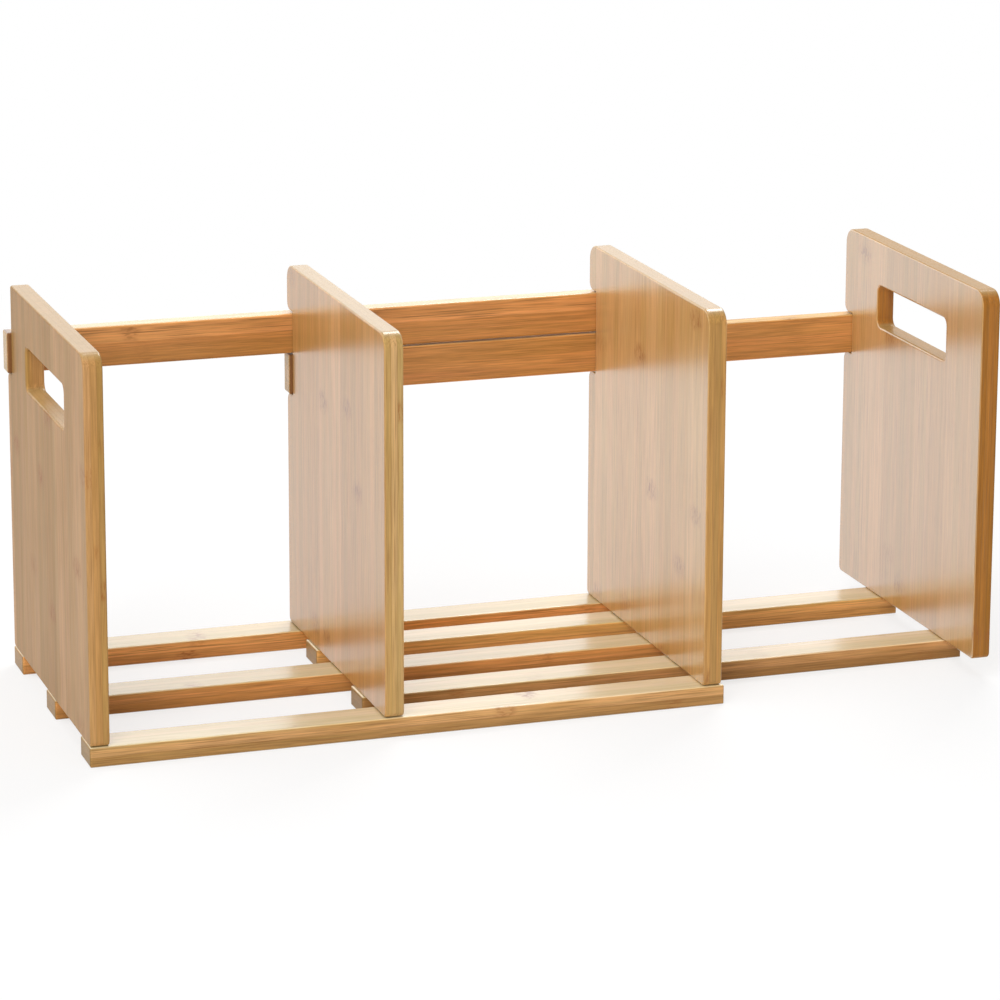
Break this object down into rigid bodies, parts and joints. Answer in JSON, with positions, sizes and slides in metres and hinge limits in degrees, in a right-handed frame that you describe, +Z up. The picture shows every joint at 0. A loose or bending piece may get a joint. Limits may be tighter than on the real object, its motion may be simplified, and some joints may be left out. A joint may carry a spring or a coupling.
{
  "type": "expandable bookcase",
  "caption": "Low wooden desktop bookcase of two slatted frames with upright panels that slide into one another to change its length.",
  "frame": {"origin": "on the resting surface, below the middle of the whole bookcase at the opening shown", "axes": "+X along the bookcase from the left frame to the right frame, +Y from front to back, +Z up"},
  "size_m": [0.4694, 0.173, 0.2008],
  "materials": {
    "bamboo_panel": "solid bamboo with a clear satin lacquer",
    "bamboo_slat": "solid bamboo with a clear satin lacquer",
    "bamboo_rail": "solid bamboo with a clear satin lacquer",
    "steel": "zinc-plated"
  },
  "bodies": {
    "left_frame": {"left_end_panel": "bamboo_panel", "left_inner_panel": "bamboo_panel", "left_slat_front": "bamboo_slat", "left_slat_middle": "bamboo_slat", "left_slat_back": "bamboo_slat", "left_back_rail": "bamboo_rail", "left_end_screws": "steel", "left_inner_screws": "steel", "left_rail_screws": "steel"},
    "right_frame": {"right_inner_panel": "bamboo_panel", "right_end_panel": "bamboo_panel", "right_slat_front": "bamboo_slat", "right_slat_back": "bamboo_slat", "right_back_rail": "bamboo_rail", "right_inner_screws": "steel", "right_end_screws": "steel", "right_rail_screws": "steel"}
  },
  "joints": [
    {"name": "extension_slide", "type": "slide", "parent": "left_frame", "child": "right_frame", "axis": [1, 0, 0], "range_m": [-0.1345, 0.1552]}
  ]
}
